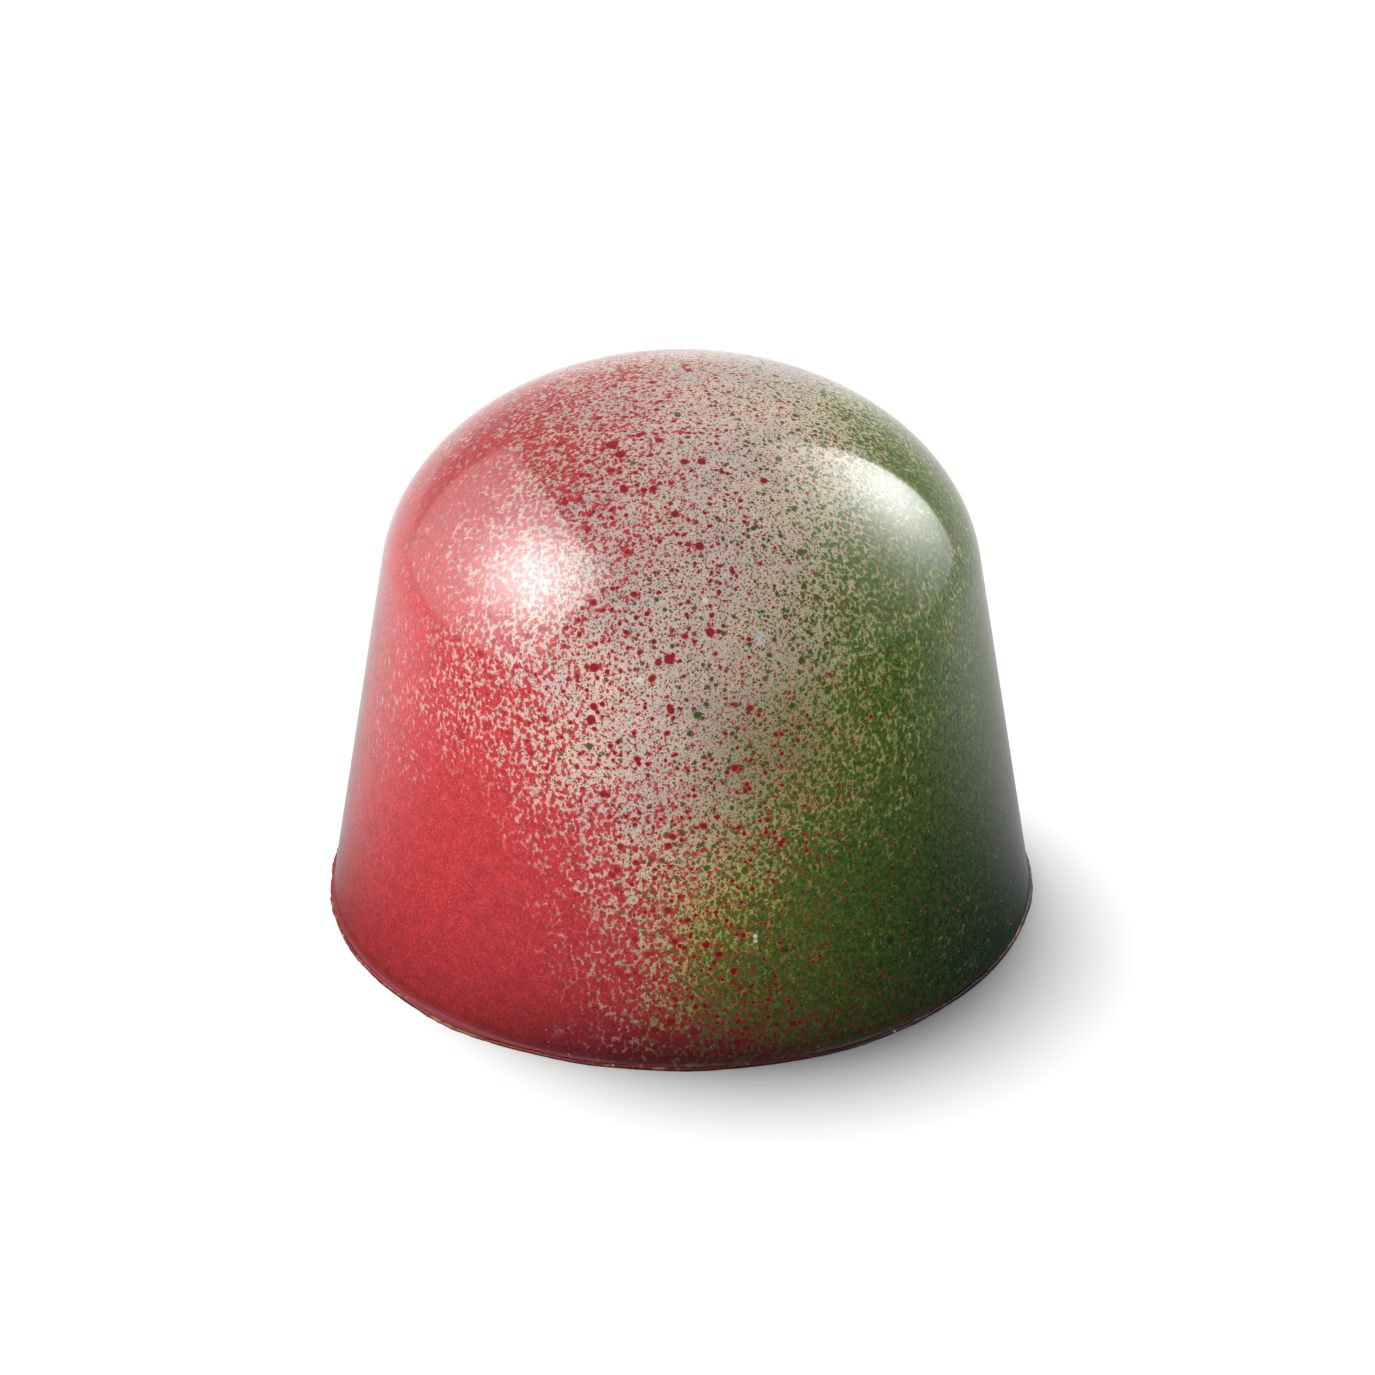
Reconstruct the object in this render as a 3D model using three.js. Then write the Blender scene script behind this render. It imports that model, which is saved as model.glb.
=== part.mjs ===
// A moulded chocolate bonbon: one solid piece with an elliptical dome on a gently tapered wall.
// Millimetres, +Z up. The origin is the centre of the flat underside, and the bonbon stands on z = 0.
import * as THREE from 'three';

// Driving sizes of the mould's cavity.
const BASE_RADIUS = 14.0; // where the wall would meet the table
const HEIGHT = 22.0;
const DOME_HALF_WIDTH = 11.8; // the dome is the upper part of an ellipse
const DOME_HALF_HEIGHT = 8.2;

// The foot, where the capping layer was scraped level with the mould.
const FOOT_HEIGHT = 0.5; // the scraped edge reaches this far up the wall
const FLASH_HEIGHT = 0.14; // the thin film that stayed on the edge is widest here
const FLASH_PROUD = 0.05; // it stands this far out of the wall
const FLASH_UNEVEN = 0.04; // and is this uneven round the foot
const UNDERSIDE_INSET = 0.16; // from the wall's line to the flat that the bonbon stands on

// Waves that make the film's edge ragged: how many go round the foot, their share of the
// unevenness and where they start, in radians.
const FLASH_WAVES = [
  { count: 11, share: 0.45, start: 0.7 },
  { count: 17, share: 0.33, start: 2.1 },
  { count: 26, share: 0.22, start: 4.4 },
];

// Places where the foot swells or was chipped back: degrees from +X, half-width and depth.
const FOOT_SWELLS = [
  { at: -129, halfWidth: 22, proud: 0.09 },
  { at: -107, halfWidth: 9, proud: 0.05 },
  { at: -31, halfWidth: 24, proud: -0.2 },
  { at: 58, halfWidth: 20, proud: 0.06 },
  { at: 124, halfWidth: 16, proud: -0.1 },
];

// How finely the surfaces are divided.
const AROUND = 120;
const FOOT_STEPS = 4;
const WALL_STEPS = 4;
const DOME_STEPS = 17;

// The wall is the line from the foot's corner that just touches the dome's ellipse.
const domeCentre = HEIGHT - DOME_HALF_HEIGHT;
const cornerAcross = BASE_RADIUS / DOME_HALF_WIDTH;
const cornerDown = -domeCentre / DOME_HALF_HEIGHT;
const joinAngle =
  Math.atan2(cornerDown, cornerAcross) + Math.acos(1 / Math.hypot(cornerAcross, cornerDown));
const joinRadius = DOME_HALF_WIDTH * Math.cos(joinAngle);
const joinHeight = domeCentre + DOME_HALF_HEIGHT * Math.sin(joinAngle);
const wallTaper = (BASE_RADIUS - joinRadius) / joinHeight;

const wallRadius = (z) => BASE_RADIUS - wallTaper * z;
const smooth = (t) => t * t * (3 - 2 * t);

// How far the foot stands out of the wall at one angle: its film, broad swells and chips, and the
// film's ragged edge.
function footProud(angle) {
  const swells = FOOT_SWELLS.reduce((sum, { at, halfWidth, proud }) => {
    const away = Math.abs(THREE.MathUtils.euclideanModulo(angle - at + 180, 360) - 180);
    return away < halfWidth ? sum + proud * smooth(1 - away / halfWidth) : sum;
  }, 0);
  const a = THREE.MathUtils.degToRad(angle);
  const ragged = FLASH_WAVES.reduce(
    (sum, { count, share, start }) => sum + share * Math.sin(count * a + start),
    0,
  );
  return FLASH_PROUD + swells + FLASH_UNEVEN * ragged;
}

// The profile from the underside up to the dome's top. Each point has a radius, a height and a share
// of the foot's unevenness, which fades out up the wall.
function profile() {
  const points = [{ radius: BASE_RADIUS - UNDERSIDE_INSET, z: 0, uneven: 1 }];
  for (let i = 0; i <= FOOT_STEPS; i++) {
    const up = i / FOOT_STEPS;
    const z = FLASH_HEIGHT + (FOOT_HEIGHT - FLASH_HEIGHT) * up;
    points.push({ radius: wallRadius(z), z, uneven: 1 - smooth(up) });
  }
  for (let i = 1; i <= WALL_STEPS; i++) {
    const z = FOOT_HEIGHT + ((joinHeight - FOOT_HEIGHT) * i) / WALL_STEPS;
    points.push({ radius: wallRadius(z), z, uneven: 0 });
  }
  for (let i = 1; i < DOME_STEPS; i++) {
    const a = joinAngle + ((Math.PI / 2 - joinAngle) * i) / DOME_STEPS;
    const z = domeCentre + DOME_HALF_HEIGHT * Math.sin(a);
    points.push({ radius: DOME_HALF_WIDTH * Math.cos(a), z, uneven: 0 });
  }
  return points;
}

// Rings of vertices round the axis, closed by a fan under the foot and one over the top.
function bonbonGeometry() {
  const rings = profile();
  const positions = [];
  for (const { radius, z, uneven } of rings) {
    for (let i = 0; i < AROUND; i++) {
      const angle = (360 * i) / AROUND;
      const a = THREE.MathUtils.degToRad(angle);
      const r = radius + uneven * footProud(angle);
      positions.push(r * Math.cos(a), r * Math.sin(a), z);
    }
  }
  const under = positions.length / 3;
  const top = under + 1;
  positions.push(0, 0, 0, 0, 0, HEIGHT);

  const faces = [];
  const last = (rings.length - 1) * AROUND;
  for (let i = 0; i < AROUND; i++) {
    const next = (i + 1) % AROUND;
    faces.push(under, next, i);
    faces.push(top, last + i, last + next);
    for (let ring = 0; ring < rings.length - 1; ring++) {
      const low = ring * AROUND;
      const high = low + AROUND;
      faces.push(low + i, low + next, high + next);
      faces.push(low + i, high + next, high + i);
    }
  }
  const geometry = new THREE.BufferGeometry();
  geometry.setAttribute('position', new THREE.Float32BufferAttribute(positions, 3));
  geometry.setIndex(faces);
  geometry.computeVertexNormals();
  return geometry;
}

// Glossy cocoa-butter colour over chocolate. The red of its larger half stands for the whole coat.
const cocoaButter = new THREE.MeshStandardMaterial({
  color: 0xb6313c,
  roughness: 0.22,
  metalness: 0,
});

const bonbon = new THREE.Mesh(bonbonGeometry(), cocoaButter);
bonbon.name = 'bonbon';

const group = new THREE.Group();
group.add(bonbon);

export default group;
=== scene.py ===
"""A moulded chocolate bonbon in a sprayed coat of coloured cocoa butter, on a pale studio floor.

The bonbon stands on z = 0 with its axis on Z. Sizes in the classes are millimetres, and MM turns
them into the metres that meshes, lamps and the camera are placed in. The side that faces -Y is the
front, the red spray came from -X and the green spray from +X.
"""

import logging
import math
from dataclasses import dataclass, field
from enum import Enum, IntEnum
from typing import Any

import bpy
import numpy as np
from mathutils import Matrix, Vector, noise


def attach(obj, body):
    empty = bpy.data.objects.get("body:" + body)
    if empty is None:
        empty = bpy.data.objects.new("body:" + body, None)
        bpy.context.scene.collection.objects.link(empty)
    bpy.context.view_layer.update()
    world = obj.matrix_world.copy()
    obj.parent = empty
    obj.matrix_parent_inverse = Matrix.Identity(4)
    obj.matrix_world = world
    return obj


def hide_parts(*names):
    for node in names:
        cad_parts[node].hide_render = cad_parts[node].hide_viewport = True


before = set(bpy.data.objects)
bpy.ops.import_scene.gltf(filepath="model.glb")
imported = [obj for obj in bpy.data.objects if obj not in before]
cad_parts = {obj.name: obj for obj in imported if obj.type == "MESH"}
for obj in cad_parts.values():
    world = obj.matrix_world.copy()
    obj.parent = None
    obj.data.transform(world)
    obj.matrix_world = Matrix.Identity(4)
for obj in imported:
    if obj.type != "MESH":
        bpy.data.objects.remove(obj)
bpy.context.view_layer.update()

MM = 0.001
NODE = "bonbon"
BODY = "root"
log = logging.getLogger("bonbon")

Tree = bpy.types.NodeTree
Material = bpy.types.Material
Piece = bpy.types.Object
Socket = bpy.types.NodeSocket
Link = Socket | float | int | tuple[float, ...]


def linear(hex_colour: str, alpha: float = 1.0) -> tuple[float, float, float, float]:
    """Turns an sRGB hex colour into linear light.

    Args:
        hex_colour: Six hex digits, such as "C8373C".
        alpha: The fourth component.

    Returns:
        Linear red, green, blue and alpha.
    """
    parts = [int(hex_colour[i : i + 2], 16) / 255 for i in (0, 2, 4)]
    red, green, blue = (c / 12.92 if c <= 0.04045 else ((c + 0.055) / 1.055) ** 2.4 for c in parts)
    return red, green, blue, alpha


def add_node(
    tree: Tree, kind: str, inputs: dict[str | int, Link] | None = None, **settings: Any
) -> bpy.types.bpy_prop_collection:
    """Adds one node to a tree with its settings and links.

    Args:
        tree: The node tree.
        kind: The node's type name without "ShaderNode".
        inputs: What each input socket gets, by name or number: another node's output, or a value.
        **settings: Attributes of the node, such as operation="ADD".

    Returns:
        The new node's outputs, by name or number.
    """
    node = tree.nodes.new("ShaderNode" + kind)
    for name, value in settings.items():
        setattr(node, name, value)
    for key, value in (inputs or {}).items():
        if isinstance(value, Socket):
            tree.links.new(value, node.inputs[key])
        else:
            node.inputs[key].default_value = value
    return node.outputs


def fresh_material(name: str) -> tuple[Material, Tree]:
    """Makes a material with an empty node tree.

    Args:
        name: The name of the real material.

    Returns:
        The material and its tree.
    """
    material = bpy.data.materials.new(name)
    material.use_nodes = True
    material.node_tree.nodes.clear()
    return material, material.node_tree


def place_in_millimetres(tree: Tree) -> Socket:
    """Gives the place on the piece, in millimetres."""
    metres = add_node(tree, "TexCoord")["Object"]
    return add_node(tree, "VectorMath", {0: metres, "Scale": 1 / MM}, operation="SCALE")[0]


def smoothstep(value: np.ndarray | float) -> np.ndarray | float:
    """Eases a share between 0 and 1, clipped outside it."""
    share = np.clip(value, 0.0, 1.0)
    return share * share * (3 - 2 * share)


def mesh_object(name: str, vertices: np.ndarray, faces: list[tuple[int, ...]], material: Material) -> Piece:
    """Makes a smooth-shaded mesh object.

    Args:
        name: The object's and mesh's name.
        vertices: Places in millimetres, one row each.
        faces: Vertex numbers of each face, in order round its outer side.
        material: The finish of every face.

    Returns:
        The object, linked to the scene.
    """
    mesh = bpy.data.meshes.new(name)
    mesh.from_pydata((vertices * MM).tolist(), [], faces)
    mesh.materials.append(material)
    mesh.polygons.foreach_set("use_smooth", [True] * len(mesh.polygons))
    mesh.update()
    piece = bpy.data.objects.new(name, mesh)
    bpy.context.scene.collection.objects.link(piece)
    return piece


class Layer(Enum):
    """The colours of the marks that can be told apart."""

    RED = "8F1420"
    GREEN = "33571A"
    DARK = "1C1210"
    CREAM = "EFE6D6"
    FROST = "C9CBD6"


@dataclass(frozen=True)
class Burst:
    """One burst of an airbrush: how much colour it left, by the place on the bonbon.

    The dose falls off as a bell curve from the burst's middle, which may lie beyond the surface.
    """

    strength: float
    across: float
    up: float
    spread_across: float
    spread_up: float

    def dose(self, tree: Tree, place: Socket) -> Socket:
        """Adds the nodes of this burst's dose.

        Args:
            tree: The material's node tree.
            place: The place on the bonbon, in millimetres.

        Returns:
            The dose, as the mean number of droplet layers that lie there.
        """
        offset = add_node(
            tree, "VectorMath", {0: place, 1: (-self.across, 0.0, -self.up)}, operation="ADD"
        )[0]
        squeeze = (1 / self.spread_across, 0.0, 1 / self.spread_up)
        squeezed = add_node(tree, "VectorMath", {0: offset, 1: squeeze}, operation="MULTIPLY")[0]
        square = add_node(tree, "VectorMath", {0: squeezed, 1: squeezed}, operation="DOT_PRODUCT")["Value"]
        exponent = add_node(
            tree, "Math", {0: square, 1: -0.5, 2: math.log(self.strength)}, operation="MULTIPLY_ADD"
        )[0]
        return add_node(tree, "Math", {0: exponent}, operation="EXPONENT")[0]


@dataclass(frozen=True)
class Balls:
    """Balls strewn at random in space, one to a cell, that the bonbon's skin cuts through.

    cell is the mean distance between them, and smallest and largest are their radii, all in
    millimetres. The finest droplets and grains of a real coat are about 0.02 mm across, too fine to
    show, so they are drawn as coarse as they need to be, 0.03 mm across and up.
    """

    cell: float
    smallest: float
    largest: float
    seed: float

    def strewn(
        self, tree: Tree, place: Socket, shift: tuple[float, float, float]
    ) -> tuple[Socket, Socket, Socket]:
        """Adds the nodes that find the nearest ball.

        Args:
            tree: The material's node tree.
            place: The place on the bonbon, in millimetres, already jittered.
            shift: Sets one pattern apart from another.

        Returns:
            The distance from its middle and its radius, both in cells, and its chance from 0 to 1.
        """
        shifted = add_node(tree, "VectorMath", {0: place, 1: shift}, operation="ADD")[0]
        cells = add_node(tree, "TexVoronoi", {"Vector": shifted, "Scale": 1 / self.cell}, feature="F1")
        chances = add_node(tree, "SeparateColor", {0: cells["Color"]})
        ends = {"To Min": self.smallest / self.cell, "To Max": self.largest / self.cell}
        radius = add_node(tree, "MapRange", {"Value": chances[1], **ends})[0]
        return cells["Distance"], radius, chances[0]


@dataclass(frozen=True)
class Droplets(Balls):
    """Droplets of one size class.

    The share of them that landed is rate for each unit of dose above starts. soft_edge is the
    width of their edges in millimetres, and blur is how much each unit of dose widens those. They
    are thickest from the share thick of the largest radius inwards.
    """

    soft_edge: float
    rate: float
    starts: float = 0.0
    blur: float = 0.6
    thick: float = 0.35

    def cover(self, tree: Tree, place: Socket, dose: Socket) -> tuple[Socket, Socket]:
        """Adds the nodes of this size class.

        Args:
            tree: The material's node tree.
            place: The place on the bonbon, in millimetres, already jittered.
            dose: The dose of its colour.

        Returns:
            How far each point is covered, from 0 to 1, and how deep it is inside its droplet.
        """
        distance, radius, chance = self.strewn(tree, place, (self.seed, 2 * self.seed, -self.seed))
        share = {0: dose, 1: self.rate, 2: -self.rate * self.starts}
        landed = add_node(tree, "Math", share, operation="MULTIPLY_ADD")[0]
        shown = add_node(tree, "Math", {0: landed, 1: chance}, operation="GREATER_THAN")[0]
        inside = add_node(tree, "Math", {0: radius, 1: distance}, operation="SUBTRACT")[0]
        half_edge = 0.5 * self.soft_edge / self.cell
        widened = {0: dose, 1: self.blur * half_edge, 2: half_edge}
        inner = add_node(tree, "Math", widened, operation="MULTIPLY_ADD")[0]
        outer = add_node(tree, "Math", {0: 0.0, 1: inner}, operation="SUBTRACT")[0]
        ends = {"From Min": outer, "From Max": inner}
        edge = add_node(tree, "MapRange", {"Value": inside, **ends}, interpolation_type="SMOOTHSTEP")[0]
        cover = add_node(tree, "Math", {0: edge, 1: shown}, operation="MULTIPLY")[0]
        thickest = self.thick * self.largest / self.cell
        depth = add_node(tree, "MapRange", {"Value": inside, "From Max": thickest})[0]
        return cover, add_node(tree, "Math", {0: depth, 1: cover}, operation="MULTIPLY")[0]


@dataclass(frozen=True)
class Film:
    """The film that droplets make once they run together, thick in some places and open in others.

    drop_across and drop_up are the distances between the drops that it came from, in millimetres,
    so its last gaps are thin and lie between them. The thickness that is missing at each point
    follows the law for drops that fall at random, so the film covers the share 1 - exp(-dose). It
    comes from the distance to the nearest drop and from a noise, each with its weight, and the two
    means are what those give on average.
    """

    drop_across: float
    drop_up: float
    seed: float
    steepness: float = 16.0
    soft_edge: float = 0.75
    distance_weight: float = 0.44
    distance_mean: float = 0.244
    noise_weight: float = 0.55
    noise_mean: float = 0.275
    noise_scale: float = 1.3

    def cover(self, tree: Tree, place: Socket, dose: Socket) -> Socket:
        """Adds the nodes of the film.

        Args:
            tree: The material's node tree.
            place: The place on the bonbon, in millimetres, already jittered.
            dose: The dose that has run together.

        Returns:
            How far each point is covered, from 0 to 1.
        """
        squeeze = (1 / self.drop_across, 1 / self.drop_across, 1 / self.drop_up)
        shift = (self.seed, -self.seed, 2 * self.seed)
        fitted = add_node(tree, "VectorMath", {0: place, 1: squeeze, 2: shift}, operation="MULTIPLY_ADD")[0]
        noisy = add_node(
            tree, "TexNoise", {"Vector": fitted, "Scale": self.noise_scale, "Detail": 1.0}
        )["Fac"]
        between = add_node(tree, "TexVoronoi", {"Vector": fitted, "Scale": 1.0}, feature="F1")["Distance"]
        far = {0: between, 1: self.distance_weight, 2: -self.distance_mean}
        uneven = add_node(tree, "Math", far, operation="MULTIPLY_ADD")[0]
        rough = {0: noisy, 1: self.noise_weight, 2: uneven}
        uneven = add_node(tree, "Math", rough, operation="MULTIPLY_ADD")[0]
        steep = {0: uneven, 1: self.steepness, 2: -self.noise_mean * self.steepness}
        swing = add_node(tree, "Math", steep, operation="MULTIPLY_ADD")[0]
        grown = add_node(tree, "Math", {0: swing}, operation="EXPONENT")[0]
        above = add_node(tree, "Math", {0: grown, 1: 1.0}, operation="ADD")[0]
        missing = add_node(tree, "Math", {0: above, 1: math.e}, operation="LOGARITHM")[0]
        needed = add_node(tree, "Math", {0: missing, 1: dose}, operation="DIVIDE")[0]
        ends = {"From Min": 1.0, "From Max": 1.0 - self.soft_edge}
        return add_node(tree, "MapRange", {"Value": needed, **ends}, interpolation_type="SMOOTHSTEP")[0]


@dataclass(frozen=True)
class CocoaButterColour:
    """One oil-soluble colour in cocoa butter, sprayed through an airbrush on to the cold mould.

    Fine fogs and a mist tint the undercoat first: fogs of the colour's own tint, and for the green
    one dark fog that is painted shade where the light falls off right of the middle. Droplets stand
    thick and dark where they lie alone. What lands on top of them runs together into a film that
    glazes over the last gaps. Low down, towards the foot, the paint is darkened, partly as thick
    colour and partly as painted shade. apart is the dose that stays in droplets, and alone and
    crowded are the doses between which the droplets lose their thick middles.
    """

    film: str
    thick: str
    heavy_and_shade: str
    mist: str
    overspray: float
    bursts: tuple[Burst, ...]
    sizes: tuple[Droplets, ...]
    run_together: Film
    fogs_and_painted_shade: tuple[tuple[str, Burst], ...]
    heavy_and_shade_bursts: tuple[Burst, ...]
    mist_strength: float
    glaze_strength: float
    apart: float = 0.4
    alone: float = 0.4
    crowded: float = 3.0

    def dose(self, tree: Tree, place: Socket, drift: Socket) -> Socket:
        """Adds up this colour's bursts.

        Args:
            tree: The material's node tree.
            place: The place on the bonbon, in millimetres.
            drift: A random factor round 1, because a hand-held brush wanders and spits.

        Returns:
            The dose of this colour.
        """
        total = self.bursts[0].dose(tree, place)
        for burst in self.bursts[1:]:
            total = add_node(tree, "Math", {0: total, 1: burst.dose(tree, place)}, operation="ADD")[0]
        drifted = {0: total, 1: drift, 2: self.overspray}
        return add_node(tree, "Math", drifted, operation="MULTIPLY_ADD")[0]

    def spray(self, tree: Tree, place: Socket, dose: Socket, under: Socket) -> Socket:
        """Lays this colour over what is under it.

        Args:
            tree: The material's node tree.
            place: The place on the bonbon, in millimetres, already jittered.
            dose: The dose of this colour.
            under: The colour below.

        Returns:
            The colour with the spray over it.
        """
        # Fogs of a colour's own tint, and dark fogs that are painted shade.
        for tint_colour, burst in self.fogs_and_painted_shade:
            tinted = {"Factor": burst.dose(tree, place), 6: under, 7: linear(tint_colour)}
            under = add_node(tree, "Mix", tinted, data_type="RGBA")[2]
        thin = add_node(tree, "Math", {0: dose, 1: -self.mist_strength}, operation="MULTIPLY")[0]
        clear = add_node(tree, "Math", {0: thin}, operation="EXPONENT")[0]
        misted = {"Factor": clear, 6: linear(self.mist), 7: under}
        under = add_node(tree, "Mix", misted, data_type="RGBA")[2]
        used = add_node(tree, "Math", {0: dose, 1: -1 / self.apart}, operation="MULTIPLY")[0]
        room = add_node(tree, "Math", {0: used}, operation="EXPONENT")[0]
        kept = {0: room, 1: -self.apart, 2: self.apart}
        lone = add_node(tree, "Math", kept, operation="MULTIPLY_ADD")[0]
        joined = add_node(tree, "Math", {0: dose, 1: lone}, operation="SUBTRACT")[0]
        filmed = self.run_together.cover(tree, place, joined)
        bare, depth = self.gaps(tree, place, dose, lone, filmed)
        thickened = {"Factor": depth, 6: linear(self.film), 7: linear(self.thick)}
        paint = add_node(tree, "Mix", thickened, data_type="RGBA")[2]
        # Darker low down: partly thicker colour, partly painted shade.
        for burst in self.heavy_and_shade_bursts:
            darkened = {"Factor": burst.dose(tree, place), 6: paint, 7: linear(self.heavy_and_shade)}
            paint = add_node(tree, "Mix", darkened, data_type="RGBA")[2]
        return add_node(tree, "Mix", {"Factor": bare, 6: paint, 7: under}, data_type="RGBA")[2]

    def gaps(
        self, tree: Tree, place: Socket, dose: Socket, lone: Socket, filmed: Socket
    ) -> tuple[Socket, Socket]:
        """Finds what the glaze, the film and the droplets leave bare.

        Args:
            tree: The material's node tree.
            place: The place on the bonbon, in millimetres, already jittered.
            dose: The dose of this colour.
            lone: The part of it that stayed in droplets.
            filmed: How far the film covers each point.

        Returns:
            How bare each point is, and how deep it is in a thick droplet, both from 0 to 1.
        """
        glaze = add_node(tree, "Math", {0: dose, 1: self.glaze_strength}, operation="MULTIPLY")[0]
        square = add_node(tree, "Math", {0: glaze, 1: 2.0}, operation="POWER")[0]
        opened = add_node(tree, "Math", {0: -1.0, 1: square}, operation="MULTIPLY")[0]
        bare = add_node(tree, "Math", {0: opened}, operation="EXPONENT")[0]
        deepest: Socket | float = 0.0
        covers = [filmed]
        for size in self.sizes:
            cover, deep = size.cover(tree, place, lone)
            covers.append(cover)
            deepest = add_node(tree, "Math", {0: deepest, 1: deep}, operation="MAXIMUM")[0]
        for cover in covers:
            left = add_node(tree, "Math", {0: 1.0, 1: cover}, operation="SUBTRACT")[0]
            bare = add_node(tree, "Math", {0: bare, 1: left}, operation="MULTIPLY")[0]
        ends = {"From Min": self.alone, "From Max": self.crowded, "To Min": 1.0, "To Max": 0.0}
        alone = add_node(tree, "MapRange", {"Value": dose, **ends})[0]
        return bare, add_node(tree, "Math", {0: deepest, 1: alone}, operation="MULTIPLY")[0]


RED_COAT = CocoaButterColour(
    film="B8383C",
    thick="801014",
    heavy_and_shade="5E1626",
    mist="D99A90",
    overspray=0.01,
    bursts=(
        Burst(strength=8.5, across=-8.9, up=0.3, spread_across=4.0, spread_up=5.5),
        Burst(strength=40.0, across=-26.6, up=28.0, spread_across=8.1, spread_up=9.6),
        Burst(strength=0.16, across=0.8, up=10.5, spread_across=3.0, spread_up=4.2),
        Burst(strength=0.52, across=-4.4, up=21.2, spread_across=3.6, spread_up=2.8),
        Burst(strength=1.5, across=0.6, up=-0.6, spread_across=3.2, spread_up=1.5),
        Burst(strength=0.45, across=-5.0, up=7.0, spread_across=3.0, spread_up=5.5),
        Burst(strength=0.9, across=-12.5, up=11.0, spread_across=3.0, spread_up=5.0),
    ),
    sizes=(
        Droplets(cell=0.62, smallest=0.07, largest=0.19, soft_edge=0.05, rate=3.0, seed=3.1, starts=0.07),
        Droplets(cell=0.31, smallest=0.04, largest=0.115, soft_edge=0.04, rate=5.0, seed=17.3, starts=0.015),
        Droplets(cell=0.13, smallest=0.02, largest=0.048, soft_edge=0.03, rate=14.0, seed=41.9),
    ),
    run_together=Film(drop_across=0.21, drop_up=0.26, seed=6.3, soft_edge=0.8),
    fogs_and_painted_shade=(),
    # Darker low at the front of the foot: thick red, and partly painted shade.
    heavy_and_shade_bursts=(Burst(strength=1.0, across=2.5, up=-1.0, spread_across=6.0, spread_up=1.8),),
    mist_strength=0.10,
    glaze_strength=0.27,
)
GREEN_COAT = CocoaButterColour(
    film="4B6621",
    thick="304A0E",
    heavy_and_shade="1C3120",
    mist="B3B238",
    overspray=0.08,
    bursts=(
        Burst(strength=3.8, across=11.4, up=7.5, spread_across=3.5, spread_up=12.0),
        Burst(strength=2.4, across=6.0, up=3.4, spread_across=2.7, spread_up=3.5),
        Burst(strength=1.3, across=1.9, up=2.2, spread_across=2.2, spread_up=3.2),
        Burst(strength=4.0, across=15.5, up=4.0, spread_across=3.0, spread_up=6.0),
        Burst(strength=1.8, across=4.6, up=0.3, spread_across=3.4, spread_up=2.2),
        Burst(strength=0.95, across=4.1, up=7.1, spread_across=2.4, spread_up=3.6),
        Burst(strength=0.35, across=8.2, up=18.0, spread_across=2.0, spread_up=1.8),
    ),
    sizes=(
        Droplets(cell=0.55, smallest=0.06, largest=0.17, soft_edge=0.05, rate=2.8, seed=5.7, starts=0.06),
        Droplets(cell=0.28, smallest=0.035, largest=0.11, soft_edge=0.04, rate=5.5, seed=23.9, starts=0.03),
        Droplets(cell=0.12, smallest=0.02, largest=0.046, soft_edge=0.03, rate=14.0, seed=59.3),
    ),
    run_together=Film(drop_across=0.18, drop_up=0.24, seed=8.1, soft_edge=0.9),
    fogs_and_painted_shade=(
        ("B2AD38", Burst(strength=0.85, across=2.2, up=4.4, spread_across=2.4, spread_up=2.6)),
        # Painted shade: a dark grey-olive fog right of the middle, where the light falls off.
        ("605A42", Burst(strength=0.75, across=4.4, up=12.4, spread_across=3.0, spread_up=3.4)),
    ),
    # Darker low on the right: thick green, and partly painted shade.
    heavy_and_shade_bursts=(Burst(strength=1.0, across=13.0, up=1.0, spread_across=4.8, spread_up=7.5),),
    mist_strength=0.34,
    glaze_strength=0.33,
)


@dataclass(frozen=True)
class Specks(Balls):
    """Pinpoints strewn over the coat: air bubbles, grains of pigment and cocoa crumbs.

    share is how many of the balls show, and core is how much of the smallest one is solid.
    """

    colour: str
    share: float
    core: float = 0.4

    def dots(self, tree: Tree, place: Socket) -> Socket:
        """Adds the nodes of these specks' shapes.

        Args:
            tree: The material's node tree.
            place: The place on the bonbon, in millimetres, already jittered.

        Returns:
            One in the middle of a speck, and nought off it.
        """
        distance, radius, chance = self.strewn(tree, place, (-self.seed, self.seed, 2 * self.seed))
        core = self.core * self.smallest / self.cell
        dot = add_node(tree, "MapRange", {"Value": distance, "From Min": radius, "From Max": core})[0]
        shown = add_node(tree, "Math", {0: chance, 1: self.share}, operation="LESS_THAN")[0]
        return add_node(tree, "Math", {0: dot, 1: shown}, operation="MULTIPLY")[0]

    def strew(self, tree: Tree, place: Socket, under: Socket, where: Socket | float) -> Socket:
        """Adds these specks over a colour.

        Args:
            tree: The material's node tree.
            place: The place on the bonbon, in millimetres, already jittered.
            under: The colour below.
            where: How far they show at each place, from 0 to 1.

        Returns:
            The colour with the specks on it.
        """
        there = self.dots(tree, place)
        factor = add_node(tree, "Math", {0: there, 1: where}, operation="MULTIPLY")[0]
        return add_node(
            tree, "Mix", {"Factor": factor, 6: under, 7: linear(self.colour)}, data_type="RGBA"
        )[2]


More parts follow.
